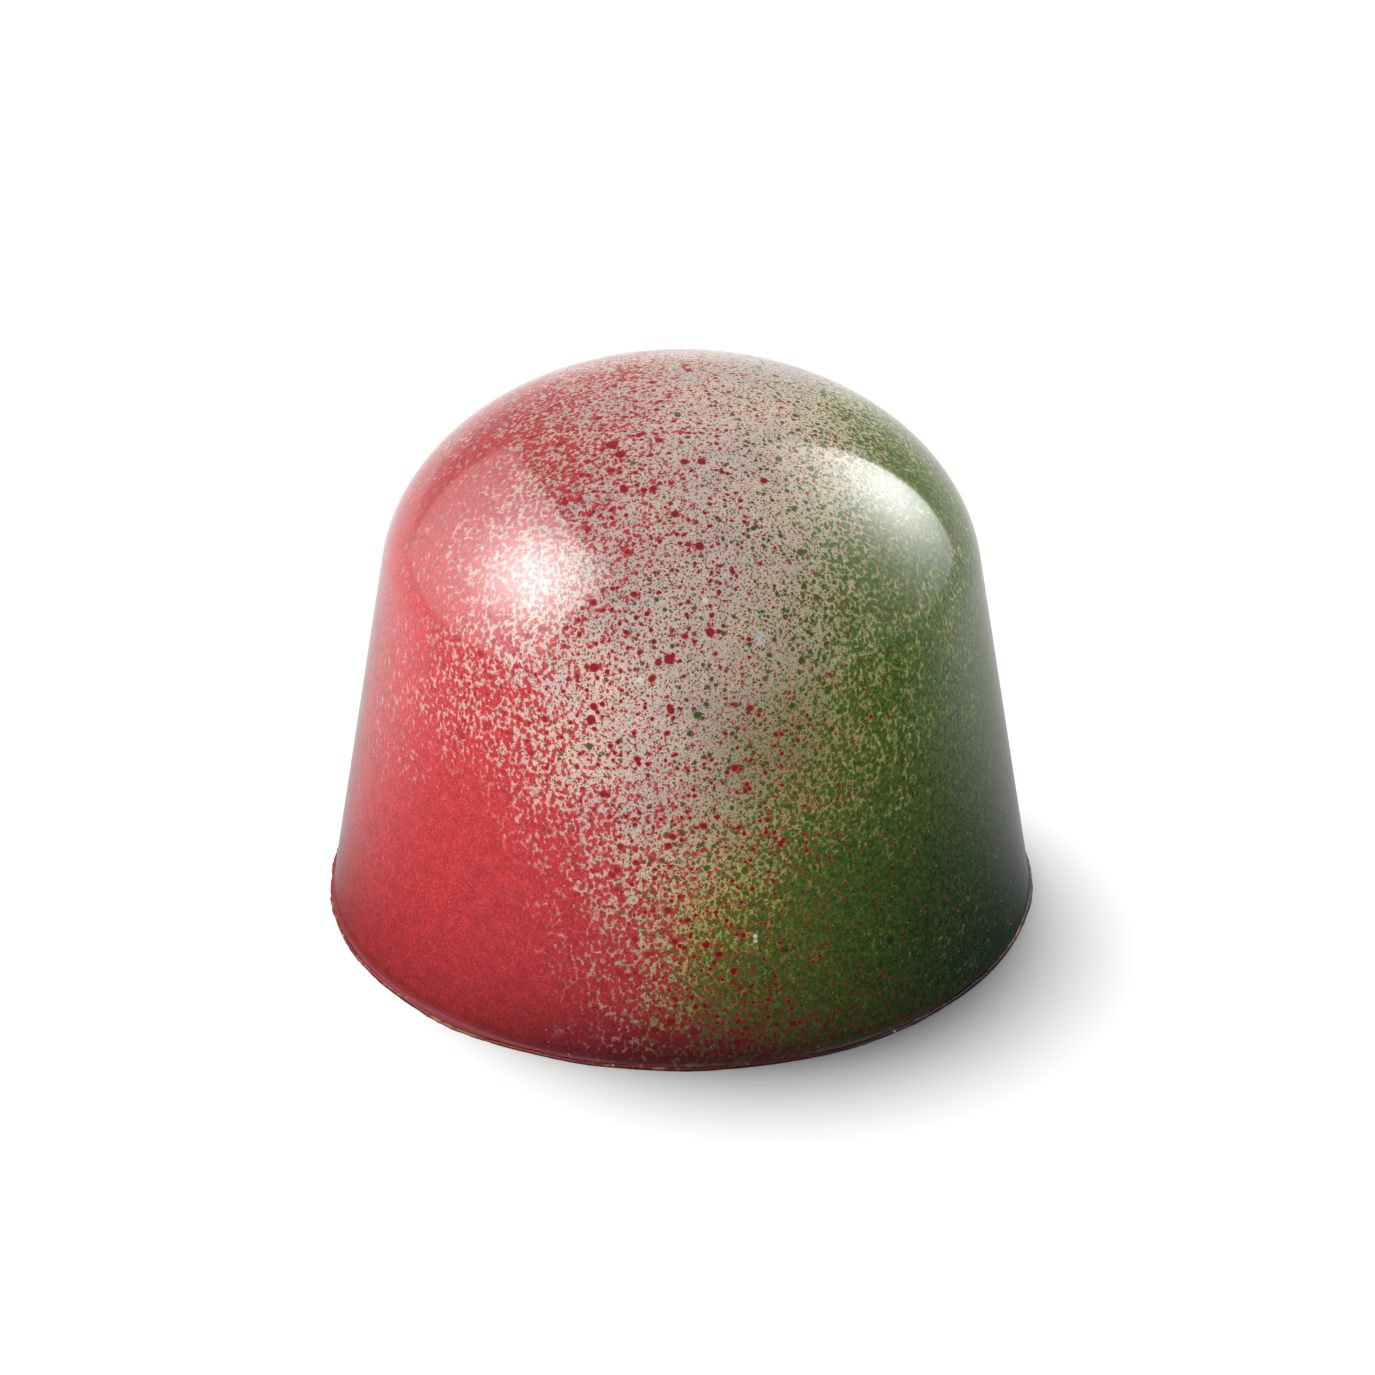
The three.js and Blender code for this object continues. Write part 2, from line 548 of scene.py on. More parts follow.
@dataclass(frozen=True)
class Mark:
    """One larger drop or flaw that can be told apart, at its own place on the skin."""

    layer: Layer
    across: float
    back: float
    up: float
    radius: float
    strength: float = 1.0
    soft_edge: float = 0.06

    def draw(self, tree: Tree, place: Socket, under: Socket) -> Socket:
        """Adds the nodes of this mark.

        Args:
            tree: The material's node tree.
            place: The place on the bonbon, in millimetres, already jittered.
            under: The colour below.

        Returns:
            The colour with the mark on it.
        """
        middle = (self.across, self.back, self.up)
        away = add_node(tree, "VectorMath", {0: place, 1: middle}, operation="DISTANCE")["Value"]
        spot = add_node(
            tree,
            "MapRange",
            {
                "Value": away,
                "From Min": self.radius + self.soft_edge / 2,
                "From Max": self.radius - self.soft_edge / 2,
                "To Max": self.strength,
            },
            interpolation_type="SMOOTHSTEP",
        )[0]
        return add_node(
            tree, "Mix", {"Factor": spot, 6: under, 7: linear(self.layer.value)}, data_type="RGBA"
        )[2]


MARKS = (
    Mark(Layer.RED, across=-0.84, back=-11.12, up=16.42, radius=0.14),
    Mark(Layer.RED, across=-0.45, back=-11.12, up=16.52, radius=0.20),
    Mark(Layer.RED, across=1.09, back=-10.53, up=17.38, radius=0.18),
    Mark(Layer.RED, across=-0.38, back=-11.73, up=14.65, radius=0.15),
    Mark(Layer.RED, across=-0.30, back=-11.76, up=14.35, radius=0.11),
    Mark(Layer.RED, across=2.6, back=-11.45, up=14.61, radius=0.14),
    Mark(Layer.RED, across=-2.65, back=-3.18, up=21.47, radius=0.25),
    Mark(Layer.RED, across=-2.34, back=-3.80, up=21.36, radius=0.22),
    Mark(Layer.RED, across=-3.29, back=-10.85, up=16.01, radius=0.19),
    Mark(Layer.RED, across=-3.41, back=-11.32, up=14.01, radius=0.19),
    Mark(Layer.RED, across=2.00, back=-13.27, up=3.55, radius=0.16, strength=0.8),
    Mark(Layer.RED, across=2.22, back=-13.25, up=3.25, radius=0.15, strength=0.8),
    Mark(Layer.RED, across=2.45, back=-13.24, up=3.00, radius=0.13, strength=0.8),
    Mark(Layer.GREEN, across=0.75, back=-10.23, up=17.82, radius=0.07),
    Mark(Layer.GREEN, across=0.60, back=-11.71, up=14.46, radius=0.16),
    Mark(Layer.DARK, across=8.06, back=-10.69, up=3.82, radius=0.19, strength=0.6, soft_edge=0.3),
    Mark(Layer.DARK, across=3.97, back=-12.66, up=4.65, radius=0.13, strength=0.6, soft_edge=0.2),
    Mark(Layer.DARK, across=7.24, back=-10.65, up=7.19, radius=0.10, strength=0.5, soft_edge=0.2),
    Mark(Layer.FROST, across=1.73, back=-8.97, up=18.98, radius=0.13, strength=0.6, soft_edge=0.15),
    Mark(Layer.FROST, across=1.80, back=-9.20, up=18.75, radius=0.12, strength=0.5, soft_edge=0.15),
    Mark(Layer.FROST, across=2.97, back=-10.34, up=17.15, radius=0.15, strength=0.6, soft_edge=0.15),
    Mark(Layer.FROST, across=2.99, back=-10.45, up=16.92, radius=0.13, strength=0.5, soft_edge=0.15),
    Mark(Layer.CREAM, across=-1.55, back=-11.31, up=15.75, radius=0.12, strength=0.5),
    Mark(Layer.CREAM, across=0.90, back=-9.75, up=18.33, radius=0.10, strength=0.6),
    Mark(Layer.CREAM, across=2.82, back=-12.86, up=5.35, radius=0.09, strength=0.8),
    Mark(Layer.CREAM, across=2.82, back=-12.88, up=5.15, radius=0.08, strength=0.7),
)


@dataclass(frozen=True)
class Mottle:
    """How uneven a coat is in depth of colour.

    grain is the distance over which it changes, in millimetres, and swing is how much lighter or
    darker it gets, as a share. Only a film shows it, so it comes in between two doses.
    """

    grain: float
    swing: float
    thin: float = 0.6
    full: float = 2.5

    def shade(self, tree: Tree, place: Socket, colour: Socket, dose: Socket | float) -> Socket:
        """Adds the nodes that make a coat uneven.

        Args:
            tree: The material's node tree.
            place: The place on the bonbon, in millimetres.
            colour: The colour to change.
            dose: That colour's dose.

        Returns:
            The uneven colour.
        """
        blots = add_node(tree, "TexNoise", {"Vector": place, "Scale": 1 / self.grain, "Detail": 1.0})["Fac"]
        ends = {"From Min": 0.3, "From Max": 0.7, "To Min": 1 - self.swing, "To Max": 1 + self.swing}
        value = add_node(tree, "MapRange", {"Value": blots, **ends})[0]
        film = add_node(tree, "MapRange", {"Value": dose, "From Min": self.thin, "From Max": self.full})[0]
        return add_node(tree, "HueSaturation", {"Value": value, "Fac": film, "Color": colour})[0]


@dataclass(frozen=True)
class SprayedShell:
    """Tempered chocolate behind a white undercoat and two sprayed colours of cocoa butter.

    It set against a polished mould, so it is as glossy as glass, with a faint orange peel and a few
    pits that air left. The droplets lie under that smooth face, so they don't stand proud. The foot
    is dull, because it was scraped. Its colour is darkened towards the bottom and in a patch at the
    front of the foot, both painted shade. Cocoa butter's index is 1.46. Lengths are millimetres, and
    film_doses are those at which a coat's grains come in.
    """

    undercoat: str = "CFBBAD"
    undercoat_cool: str = "BFB0AC"
    clouds_each_millimetre: float = 0.35
    ior: float = 1.46
    roughness: float = 0.09
    foot_roughness: float = 0.7
    dull_below: float = 0.2
    glossy_above: float = 0.6
    # Painted shade at the foot: how dark the coat gets at its bottom, and between which heights it eases
    # back.
    foot_shade_value: float = 0.5
    foot_shade_below: float = 0.15
    unshaded_above: float = 0.7
    wander: float = 6.0
    wander_strength: float = 1.2
    clump: float = 1.3
    clump_strength: float = 1.0
    red_drift_seed: float = 0.0
    green_drift_seed: float = 40.0
    jitter: float = 0.3
    jitter_reach: float = 0.12
    peel: float = 1.6
    peel_depth: float = 0.004
    pit_depth: float = 0.02
    red: CocoaButterColour = RED_COAT
    green: CocoaButterColour = GREEN_COAT
    green_mottles: tuple[Mottle, ...] = (Mottle(grain=0.36, swing=0.20), Mottle(grain=0.15, swing=0.42))
    red_blots: Mottle = Mottle(grain=0.5, swing=0.10)
    red_grain: Mottle = Mottle(grain=0.13, swing=0.16)
    fine_grain: Mottle = Mottle(grain=0.06, swing=0.26)
    green_film_doses: tuple[float, float] = (0.8, 2.5)
    red_film_doses: tuple[float, float] = (1.0, 3.0)
    red_grain_strength: float = 0.5
    bubbles: Specks = Specks(colour="F6F0E2", cell=0.75, smallest=0.03, largest=0.07, share=0.35, seed=11.0)
    dust: Specks = Specks(colour="87754A", cell=0.10, smallest=0.022, largest=0.042, share=0.65, seed=17.0)
    dusted: Burst = Burst(strength=1.0, across=3.2, up=13.5, spread_across=4.2, spread_up=5.5)
    lime: Specks = Specks(colour="9DB532", cell=0.25, smallest=0.02, largest=0.05, share=0.5, seed=29.0)
    magenta: Specks = Specks(
        colour="8A2038", cell=0.24, smallest=0.025, largest=0.055, share=0.36, seed=53.0
    )
    magenta_fog: Burst = Burst(strength=1.0, across=4.0, up=0.5, spread_across=3.8, spread_up=3.2)
    coral: Specks = Specks(colour="E07A62", cell=0.17, smallest=0.015, largest=0.04, share=0.45, seed=97.0)
    maroon: Specks = Specks(colour="5A1220", cell=0.47, smallest=0.03, largest=0.10, share=0.30, seed=83.0)
    cocoa: Specks = Specks(colour="2B1512", cell=0.62, smallest=0.02, largest=0.055, share=0.30, seed=71.0)
    cocoa_strength: float = 0.7
    # Painted shade: a dark patch low at the front of the foot.
    painted_foot_shade_colour: str = "431722"
    painted_foot_shade: Burst = Burst(strength=0.5, across=1.2, up=0.0, spread_across=4.2, spread_up=1.2)
    crumbs: Specks = Specks(
        colour="E9DCCB", cell=0.42, smallest=0.025, largest=0.055, share=0.45, seed=151.0
    )
    crumbed: Burst = Burst(strength=0.9, across=-0.5, up=0.45, spread_across=4.5, spread_up=0.5)
    pits: Specks = Specks(colour="000000", cell=0.9, smallest=0.03, largest=0.09, share=0.5, seed=131.0)

    def material(self) -> Material:
        """Builds the coat's material.

        Returns:
            The material.
        """
        material, tree = fresh_material("sprayed_cocoa_butter")
        place = place_in_millimetres(tree)
        shaken = {"Vector": place, "Scale": 1 / self.jitter, "Detail": 1.0}
        jitter = add_node(tree, "TexNoise", shaken)["Color"]
        centred = add_node(tree, "VectorMath", {0: jitter, 1: (-0.5, -0.5, -0.5)}, operation="ADD")[0]
        moved = {0: centred, 1: (self.jitter_reach,) * 3, 2: place}
        jittered = add_node(tree, "VectorMath", moved, operation="MULTIPLY_ADD")[0]
        height = add_node(tree, "SeparateXYZ", {0: place})[2]
        ends = {"From Min": self.dull_below, "From Max": self.glossy_above}
        levels = {"To Min": self.foot_roughness, "To Max": self.roughness}
        dulled = add_node(tree, "MapRange", {"Value": height, **ends, **levels})[0]
        shader = add_node(
            tree,
            "BsdfPrincipled",
            {
                "Base Color": self.colour(tree, place, jittered, height),
                "Roughness": dulled,
                "IOR": self.ior,
                "Normal": self.relief(tree, place, jittered),
            },
        )
        add_node(tree, "OutputMaterial", {"Surface": shader[0]})
        return material

    def colour(self, tree: Tree, place: Socket, jittered: Socket, height: Socket) -> Socket:
        """Lays the undercoat, the green, the red and all that is strewn on them.

        Args:
            tree: The material's node tree.
            place: The place on the bonbon, in millimetres.
            jittered: The same, shaken a little so that droplets aren't quite round.
            height: How far up that is.

        Returns:
            The coat's colour.
        """
        green_dose = self.green.dose(tree, place, self.drift(tree, place, self.green_drift_seed))
        red_dose = self.red.dose(tree, place, self.drift(tree, place, self.red_drift_seed))
        coat = self.bubbles.strew(tree, jittered, self.ground(tree, place), 1.0)
        coat = self.dust.strew(tree, jittered, coat, self.dusted.dose(tree, place))
        coat = self.green.spray(tree, jittered, green_dose, coat)
        for mottle in self.green_mottles:
            coat = mottle.shade(tree, place, coat, green_dose)
        thin, full = self.green_film_doses
        filmed = add_node(tree, "MapRange", {"Value": green_dose, "From Min": thin, "From Max": full})[0]
        coat = self.lime.strew(tree, jittered, coat, filmed)
        coat = self.magenta.strew(tree, jittered, coat, self.magenta_fog.dose(tree, place))
        coat = self.red.spray(tree, jittered, red_dose, coat)
        coat = self.red_blots.shade(tree, jittered, coat, red_dose)
        coat = self.red_grain.shade(tree, place, coat, red_dose)
        coat = self.fine_grain.shade(tree, place, coat, self.fine_grain.full)
        # Painted shade: the coat darkens towards the foot, darkest at its very bottom.
        ends = {"From Min": self.foot_shade_below, "From Max": self.unshaded_above, "To Min": self.foot_shade_value}
        foot_shade = add_node(tree, "MapRange", {"Value": height, **ends})[0]
        coat = add_node(tree, "HueSaturation", {"Value": foot_shade, "Color": coat})[0]
        thin, full = self.red_film_doses
        ends = {"From Min": thin, "From Max": full, "To Max": self.red_grain_strength}
        filmed = add_node(tree, "MapRange", {"Value": red_dose, **ends})[0]
        coat = self.coral.strew(tree, jittered, coat, filmed)
        coat = self.maroon.strew(tree, jittered, coat, filmed)
        coat = self.cocoa.strew(tree, jittered, coat, self.cocoa_strength)
        # Painted shade: darkens a patch low at the front of the foot.
        darkened = {"Factor": self.painted_foot_shade.dose(tree, place), 6: coat, 7: linear(self.painted_foot_shade_colour)}
        coat = add_node(tree, "Mix", darkened, data_type="RGBA")[2]
        coat = self.crumbs.strew(tree, jittered, coat, self.crumbed.dose(tree, place))
        for mark in MARKS:
            coat = mark.draw(tree, jittered, coat)
        return coat

    def relief(self, tree: Tree, place: Socket, jittered: Socket) -> Socket:
        """Adds the orange peel and the pits.

        Args:
            tree: The material's node tree.
            place: The place on the bonbon, in millimetres.
            jittered: The same, shaken a little.

        Returns:
            The bumped normal.
        """
        peel = add_node(tree, "TexNoise", {"Vector": place, "Scale": 1 / self.peel, "Detail": 1.0})["Fac"]
        peeled = add_node(tree, "Bump", {"Distance": self.peel_depth * MM, "Height": peel})[0]
        pits = self.pits.dots(tree, jittered)
        pitted = {"Distance": self.pit_depth * MM, "Height": pits, "Normal": peeled}
        return add_node(tree, "Bump", pitted, invert=True)[0]

    def ground(self, tree: Tree, place: Socket) -> Socket:
        """Adds the white undercoat, cloudy where it is thin over the chocolate.

        Args:
            tree: The material's node tree.
            place: The place on the bonbon, in millimetres.

        Returns:
            The undercoat's colour.
        """
        scale = self.clouds_each_millimetre
        clouds = add_node(tree, "TexNoise", {"Vector": place, "Scale": scale, "Detail": 2.0})["Fac"]
        cloudy = add_node(tree, "MapRange", {"Value": clouds, "From Min": 0.35, "From Max": 0.65})[0]
        clouded = {"Factor": cloudy, 6: linear(self.undercoat), 7: linear(self.undercoat_cool)}
        return add_node(tree, "Mix", clouded, data_type="RGBA")[2]

    def drift(self, tree: Tree, place: Socket, seed: float) -> Socket:
        """Adds the slow wander of a hand-held airbrush and its spitting in clumps.

        Args:
            tree: The material's node tree.
            place: The place on the bonbon, in millimetres.
            seed: Shifts the pattern, so that two colours wander apart.

        Returns:
            A factor round 1 for a colour's dose.
        """
        shifted = add_node(tree, "VectorMath", {0: place, 1: (seed,) * 3}, operation="ADD")[0]
        swings = []
        for length, strength in ((self.wander, self.wander_strength), (self.clump, self.clump_strength)):
            wavy = {"Vector": shifted, "Scale": 1 / length, "Detail": 1.0}
            waves = add_node(tree, "TexNoise", wavy)["Fac"]
            centred = {0: waves, 1: strength, 2: -0.5 * strength}
            swings.append(add_node(tree, "Math", centred, operation="MULTIPLY_ADD")[0])
        swing = add_node(tree, "Math", {0: swings[0], 1: swings[1]}, operation="ADD")[0]
        return add_node(tree, "Math", {0: swing}, operation="EXPONENT")[0]


@dataclass(frozen=True)
class ScrapedChocolate:
    """Tempered milk chocolate, scraped level while it set, so its underside is satin and streaked."""

    colour: str = "5B3523"
    streak_colour: str = "70452F"
    ior: float = 1.46
    roughness: float = 0.42
    streak: float = 0.7
    streak_stretch: float = 0.15
    streak_depth: float = 0.02

    def material(self) -> Material:
        """Builds the chocolate's material.

        Returns:
            The material.
        """
        material, tree = fresh_material("scraped_milk_chocolate")
        metres = add_node(tree, "TexCoord")["Object"]
        stretch = (self.streak_stretch / MM, 1 / MM, 1 / MM)
        place = add_node(tree, "VectorMath", {0: metres, 1: stretch}, operation="MULTIPLY")[0]
        streaky = {"Vector": place, "Scale": 1 / self.streak, "Detail": 4.0}
        streaks = add_node(tree, "TexNoise", streaky)["Fac"]
        streaked = {"Factor": streaks, 6: linear(self.colour), 7: linear(self.streak_colour)}
        colour = add_node(tree, "Mix", streaked, data_type="RGBA")[2]
        bump = add_node(tree, "Bump", {"Distance": self.streak_depth * MM, "Height": streaks})[0]
        shader = add_node(
            tree,
            "BsdfPrincipled",
            {"Base Color": colour, "Roughness": self.roughness, "IOR": self.ior, "Normal": bump},
        )
        add_node(tree, "OutputMaterial", {"Surface": shader[0]})
        return material


@dataclass(frozen=True)
class ScrapedFilm:
    """Sprayed cocoa butter dragged thin over chocolate: red, tan and brown by turns, with crumbs.

    It tore as it was dragged, so it is dull and rough. smear and tear are the lengths of its two
    patterns in millimetres. Red gives way to brown between the two places across the bonbon.
    """

    red: str = "8E1A20"
    tan: str = "B98A5C"
    brown: str = "3A1C14"
    ior: float = 1.46
    roughness: float = 0.6
    smear: float = 1.7
    tear: float = 0.35
    tear_depth: float = 0.05
    red_until: float = -5.0
    brown_from: float = 6.0
    least_brown: float = 0.10
    most_brown: float = 0.95
    tan_from: float = 1.08
    tan_until: float = 1.26
    most_tan: float = 0.6
    crumbs: Specks = Specks(colour="EADCC4", cell=0.34, smallest=0.04, largest=0.09, share=0.30, seed=13.0)
    crumb_strength: float = 0.9

    def material(self) -> Material:
        """Builds the film's material.

        Returns:
            The material.
        """
        material, tree = fresh_material("scraped_cocoa_butter_film")
        place = place_in_millimetres(tree)
        across = add_node(tree, "SeparateXYZ", {0: place})[0]
        smears = add_node(tree, "TexNoise", {"Vector": place, "Scale": 1 / self.smear, "Detail": 1.0})["Fac"]
        tears = add_node(tree, "TexNoise", {"Vector": place, "Scale": 1 / self.tear, "Detail": 3.0})["Fac"]
        darker = add_node(
            tree,
            "MapRange",
            {
                "Value": across,
                "From Min": self.red_until,
                "From Max": self.brown_from,
                "To Min": self.least_brown,
                "To Max": self.most_brown,
            },
        )[0]
        darkened = {"Factor": darker, 6: linear(self.red), 7: linear(self.brown)}
        base = add_node(tree, "Mix", darkened, data_type="RGBA")[2]
        mixed = add_node(tree, "Math", {0: smears, 1: tears}, operation="ADD")[0]
        ends = {"From Min": self.tan_from, "From Max": self.tan_until, "To Max": self.most_tan}
        bared = add_node(tree, "MapRange", {"Value": mixed, **ends})[0]
        colour = add_node(tree, "Mix", {"Factor": bared, 6: base, 7: linear(self.tan)}, data_type="RGBA")[2]
        colour = self.crumbs.strew(tree, place, colour, self.crumb_strength)
        bump = add_node(tree, "Bump", {"Distance": self.tear_depth * MM, "Height": tears})[0]
        shader = add_node(
            tree,
            "BsdfPrincipled",
            {"Base Color": colour, "Roughness": self.roughness, "IOR": self.ior, "Normal": bump},
        )
        add_node(tree, "OutputMaterial", {"Surface": shader[0]})
        return material


class Chart(IntEnum):
    """The parts that the skin is cut into when it is laid out flat."""

    UNDERSIDE = 0
    FIRST_STRIP = 1
    SECOND_STRIP = 2
    DOME = 3


@dataclass
class Bonbon:
    """The bonbon itself: an elliptical dome on a tapered wall, standing on its scraped foot.

    swells are the broad bulges and hollows of the foot: where, half how wide, in degrees, and how
    proud. ripples are its fine waves: how many round the foot, their share and where they start.
    """

    base_radius: float = 14.0
    height: float = 22.0
    dome_half_width: float = 11.8
    dome_half_height: float = 8.2
    foot_height: float = 0.25
    flash_height: float = 0.14
    flash_proud: float = 0.05
    flash_uneven: float = 0.04
    underside_inset: float = 0.16
    swells: tuple[tuple[float, float, float], ...] = (
        (-129, 22, 0.09), (-107, 9, 0.05), (-31, 24, -0.2), (58, 20, 0.06), (124, 16, -0.1),
    )
    ripples: tuple[tuple[int, float, float], ...] = ((11, 0.45, 0.7), (17, 0.33, 2.1), (26, 0.22, 4.4))
    around: int = 384
    dome_steps: int = 96
    wall_steps: int = 48
    foot_steps: int = 12
    bake_margin: float = 0.3
    strip_share: float = 0.99
    shell: SprayedShell = field(default_factory=SprayedShell)
    chocolate: ScrapedChocolate = field(default_factory=ScrapedChocolate)

    def __post_init__(self) -> None:
        """Works out where the wall just touches the dome, and which ring that is."""
        self.dome_from = 1 + self.foot_steps + self.wall_steps
        self.dome_centre = self.height - self.dome_half_height
        across = self.base_radius / self.dome_half_width
        down = -self.dome_centre / self.dome_half_height
        self.join_angle = math.atan2(down, across) + math.acos(1 / math.hypot(across, down))
        self.join_radius = self.dome_half_width * math.cos(self.join_angle)
        self.join_height = self.dome_centre + self.dome_half_height * math.sin(self.join_angle)
        self.taper = (self.base_radius - self.join_radius) / self.join_height

    def foot_proud(self, angle: np.ndarray) -> np.ndarray:
        """How far the foot stands out of the wall.

        Args:
            angle: Degrees from +X, one for each column of vertices.

        Returns:
            Millimetres, one for each angle.
        """
        proud = np.full(angle.shape, self.flash_proud)
        for at, half_width, height in self.swells:
            away = np.abs((angle - at + 180) % 360 - 180)
            proud += height * smoothstep(1 - away / half_width)
        turn = np.radians(angle)
        for count, share, start in self.ripples:
            proud += self.flash_uneven * share * np.sin(count * turn + start)
        return proud

    def profile(self) -> list[tuple[float, float, float]]:
        """Lists the rings from the underside up.

        Returns:
            Each ring's radius, height and share of the foot's unevenness.
        """
        rings = [(self.base_radius - self.underside_inset, 0.0, 1.0)]
        for i in range(self.foot_steps + 1):
            up = i / self.foot_steps
            z = self.flash_height + (self.foot_height - self.flash_height) * up
            rings.append((self.base_radius - self.taper * z, z, 1 - float(smoothstep(up))))
        for i in range(1, self.wall_steps + 1):
            z = self.foot_height + (self.join_height - self.foot_height) * i / self.wall_steps
            rings.append((self.base_radius - self.taper * z, z, 0.0))
        for i in range(1, self.dome_steps):
            angle = self.join_angle + (math.pi / 2 - self.join_angle) * i / self.dome_steps
            z = self.dome_centre + self.dome_half_height * math.sin(angle)
            rings.append((self.dome_half_width * math.cos(angle), z, 0.0))
        return rings

    def flatten(self, vertices: np.ndarray) -> np.ndarray:
        """Lays the skin out flat, so that baked droplets keep their size.

        The wall is cut in two strips. The dome and the underside are discs above them, unrolled by
        the length of the way down from their middles.

        Args:
            vertices: The body's vertices in millimetres: the underside's middle, the rings from the
                foot up, and the top.

        Returns:
            Four rows of flat places, one for each vertex: as part of the underside, of the first
            and second strip, and of the dome.
        """
        margin = self.bake_margin
        rings = (len(vertices) - 2) // self.around
        inner = vertices[1:-1].reshape(rings, self.around, 3)
        radius = np.hypot(inner[:, 0, 0], inner[:, 0, 1])
        steps = np.hypot(np.diff(radius, append=0.0), np.diff(inner[:, 0, 2], append=self.height))
        walked = np.concatenate([[0.0], np.cumsum(steps)])
        strip, disc = walked[self.dome_from] + margin, walked[-1] - walked[self.dome_from]
        side = 2 * strip + 2 * disc + 3 * margin
        turn = np.arange(self.around) / self.around
        circle = np.stack([np.cos(turn * math.tau), np.sin(turn * math.tau)], -1)
        flat = np.zeros((len(Chart), len(vertices), 2))
        flat[Chart.UNDERSIDE, 0] = (side - self.base_radius - margin, 2 * strip + disc)
        flat[Chart.DOME, -1] = (disc + margin, 2 * strip + disc)
        for ring in range(rings):
            here = slice(1 + ring * self.around, 1 + (ring + 1) * self.around)
            out = min(radius[ring], self.base_radius)
            flat[Chart.UNDERSIDE, here] = flat[Chart.UNDERSIDE, 0] + circle * out
            flat[Chart.DOME, here] = flat[Chart.DOME, -1] + circle * (walked[-1] - walked[ring])
            for half in (0, 1):
                along = (turn * 2 - half) % 2
                flat[Chart.FIRST_STRIP + half, here, 0] = margin + along * (side - 2 * margin)
                flat[Chart.FIRST_STRIP + half, here, 1] = half * strip + margin / 2 + walked[ring]
        return flat / side

    def build(self) -> Piece:
        """Builds and dresses the body.

        Returns:
            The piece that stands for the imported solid.
        """
        angles = np.arange(self.around) * 360 / self.around
        turn = np.radians(angles)
        proud = self.foot_proud(angles)
        rows = [np.array([[0.0, 0.0, 0.0]])]
        for radius, z, uneven in self.profile():
            r = radius + uneven * proud
            rows.append(np.stack([r * np.cos(turn), r * np.sin(turn), np.full(turn.shape, z)], -1))
        rows.append(np.array([[0.0, 0.0, self.height]]))
        vertices = np.concatenate(rows)
        count, rings = self.around, len(rows) - 2
        faces: list[tuple[int, ...]] = []
        charts: list[Chart] = []
        for i in range(count):
            after = (i + 1) % count
            faces.append((0, 1 + after, 1 + i))
            strip = Chart.FIRST_STRIP if i < count // 2 else Chart.SECOND_STRIP
            charts.append(Chart.UNDERSIDE)
            for ring in range(rings - 1):
                low, high = 1 + ring * count, 1 + (ring + 1) * count
                faces.append((low + i, low + after, high + after, high + i))
                charts.append(Chart.DOME if ring >= self.dome_from else strip)
            last = 1 + (rings - 1) * count
            faces.append((last + i, last + after, len(vertices) - 1))
            charts.append(Chart.DOME)
        piece = mesh_object("bonbon_body", vertices, faces, self.shell.material())
        self.map_skin(piece, self.flatten(vertices), charts)
        piece.data.materials.append(self.chocolate.material())
        for face, chart in zip(piece.data.polygons, charts):
            face.material_index = int(chart is Chart.UNDERSIDE)
        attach(piece, BODY)
        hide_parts(NODE)
        return piece

    def map_skin(self, piece: Piece, flat: np.ndarray, charts: list[Chart]) -> None:
        """Gives the body the map that its colours are baked to.

        Args:
            piece: The body.
            flat: The flat places from flatten.
            charts: Which of its rows each face uses.
        """
        layer = piece.data.uv_layers.new(name="OFBake")
        for face, chart in zip(piece.data.polygons, charts):
            places = [flat[chart, corner].copy() for corner in face.vertices]
            across = [place[0] for place in places]
            on_strip = chart in (Chart.FIRST_STRIP, Chart.SECOND_STRIP)
            # A face that closes a strip goes on past its end, not back to its start.
            if on_strip and max(across) - min(across) > 0.5:
                for place in places:
                    place[0] += self.strip_share if place[0] < 0.5 else 0.0
            for loop, place in zip(face.loop_indices, places):
                layer.data[loop].uv = (min(float(place[0]), 1.0), float(place[1]))


